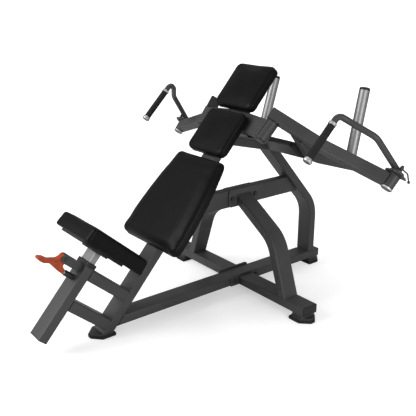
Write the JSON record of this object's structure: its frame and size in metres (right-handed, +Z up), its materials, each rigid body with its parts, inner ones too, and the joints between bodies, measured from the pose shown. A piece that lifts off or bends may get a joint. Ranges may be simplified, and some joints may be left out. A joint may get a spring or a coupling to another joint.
{
  "type": "incline chest fly bench",
  "caption": "Plate-loaded incline chest fly bench with a leaning padded back, sliding seat, crossed rubber-footed base and hinged arms carrying swivelling handles and plate horns.",
  "frame": {"origin": "on the floor, under the middle of the front foot", "axes": "+Z up, -Y towards the seat end, +X to the side of the machine that a seated user has on their left, X = 0 is the plane of symmetry"},
  "size_m": [1.5352, 1.6118, 1.0601],
  "materials": {
    "frame_paint": "satin powder coat",
    "pad_vinyl": "soft black vinyl",
    "black_rubber": "matt",
    "black_plastic": "matt",
    "chromed_steel": "brushed chrome",
    "zinc_steel": "zinc plated",
    "black_steel": "black oxide",
    "plywood": "dark stained plywood",
    "lever_orange": "gloss",
    "alloy_trim": "satin"
  },
  "bodies": {
    "frame": {"backrest_pad": "pad_vinyl", "base_spine": "frame_paint", "crossbars": "frame_paint", "flange_bolts": "black_steel", "flange_nuts": "black_steel", "flange_plates": "frame_paint", "foot_plates": "frame_paint", "headrest_pad": "pad_vinyl", "lever_bracket": "frame_paint", "lever_pivot_pin": "black_steel", "lock_barrel": "black_steel", "main_beam": "frame_paint", "mid_brace": "frame_paint", "middle_pad": "pad_vinyl", "pad_boards": "plywood", "pad_brackets": "frame_paint", "pivot_bushes": "black_plastic", "pivot_housings": "frame_paint", "post_liner": "black_plastic", "post_ties": "frame_paint", "rear_upright": "frame_paint", "rubber_feet": "black_rubber", "seat_post": "frame_paint", "shoulder_tubes": "frame_paint", "side_legs": "frame_paint", "stop_arms": "frame_paint", "stop_bumpers": "black_rubber", "tube_end_plugs": "black_plastic"},
    "seat": {"seat_inner_post": "chromed_steel", "seat_mount_plate": "black_steel", "seat_board": "plywood", "seat_pad": "pad_vinyl"},
    "seat_lever": {"seat_release_lever": "lever_orange"},
    "seat_lock": {"seat_lock_pin": "zinc_steel"},
    "arm_right": {"arm_tube_right": "frame_paint", "pivot_shaft_right": "black_steel", "horn_lever_right": "frame_paint", "plate_horn_right": "chromed_steel", "horn_cap_right": "black_plastic", "handle_bushing_right": "frame_paint", "index_sector_right": "frame_paint"},
    "handle_right": {"handle_spindle_right": "zinc_steel", "handle_tube_right": "frame_paint", "handle_hub_right": "frame_paint", "handle_grip_right": "black_rubber", "grip_collars_right": "alloy_trim"},
    "index_right": {"index_pin_right": "black_steel"},
    "arm_left": {"arm_tube_left": "frame_paint", "pivot_shaft_left": "black_steel", "horn_lever_left": "frame_paint", "plate_horn_left": "chromed_steel", "horn_cap_left": "black_plastic", "handle_bushing_left": "frame_paint", "index_sector_left": "frame_paint"},
    "handle_left": {"handle_spindle_left": "zinc_steel", "handle_tube_left": "frame_paint", "handle_hub_left": "frame_paint", "handle_grip_left": "black_rubber", "grip_collars_left": "alloy_trim"},
    "index_left": {"index_pin_left": "black_steel"}
  },
  "joints": [
    {"name": "seat_slide", "type": "slide", "parent": "frame", "child": "seat", "axis": [0, 0.6626, 0.749], "range_m": [-0.035, 0.105]},
    {"name": "seat_lever_hinge", "type": "hinge", "parent": "frame", "child": "seat_lever", "pos_m": [0, -0.1547, 0.38311], "axis": [1, 0, 0], "range_deg": [0, 6]},
    {"name": "seat_lock_slide", "type": "slide", "parent": "frame", "child": "seat_lock", "axis": [0, 0.749, -0.6626], "range_m": [0, 0.005]},
    {"name": "arm_right_hinge", "type": "hinge", "parent": "frame", "child": "arm_right", "pos_m": [0.20775, 0.70971, 0.80628], "axis": [-0.0958, -0.6596, -0.7455], "range_deg": [0, 75]},
    {"name": "arm_left_hinge", "type": "hinge", "parent": "frame", "child": "arm_left", "pos_m": [-0.20775, 0.70971, 0.80628], "axis": [-0.0958, 0.6596, 0.7455], "range_deg": [0, 75]},
    {"name": "handle_right_swivel", "type": "hinge", "parent": "arm_right", "child": "handle_right", "pos_m": [0.70267, 0.92012, 0.6638], "axis": [-0.0958, -0.6596, -0.7455], "range_deg": [-30, 30]},
    {"name": "handle_left_swivel", "type": "hinge", "parent": "arm_left", "child": "handle_left", "pos_m": [-0.70267, 0.92012, 0.6638], "axis": [-0.0958, 0.6596, 0.7455], "range_deg": [-30, 30]},
    {"name": "index_right_slide", "type": "slide", "parent": "handle_right", "child": "index_right", "axis": [-0.0958, -0.6596, -0.7455], "range_m": [0, 0.0055]},
    {"name": "index_left_slide", "type": "slide", "parent": "handle_left", "child": "index_left", "axis": [0.0958, -0.6596, -0.7455], "range_m": [0, 0.0055]}
  ],
  "couplings": [
    {"joint": "seat_lock_slide", "follows": "seat_lever_hinge", "m_per_rad": 0.0471}
  ]
}
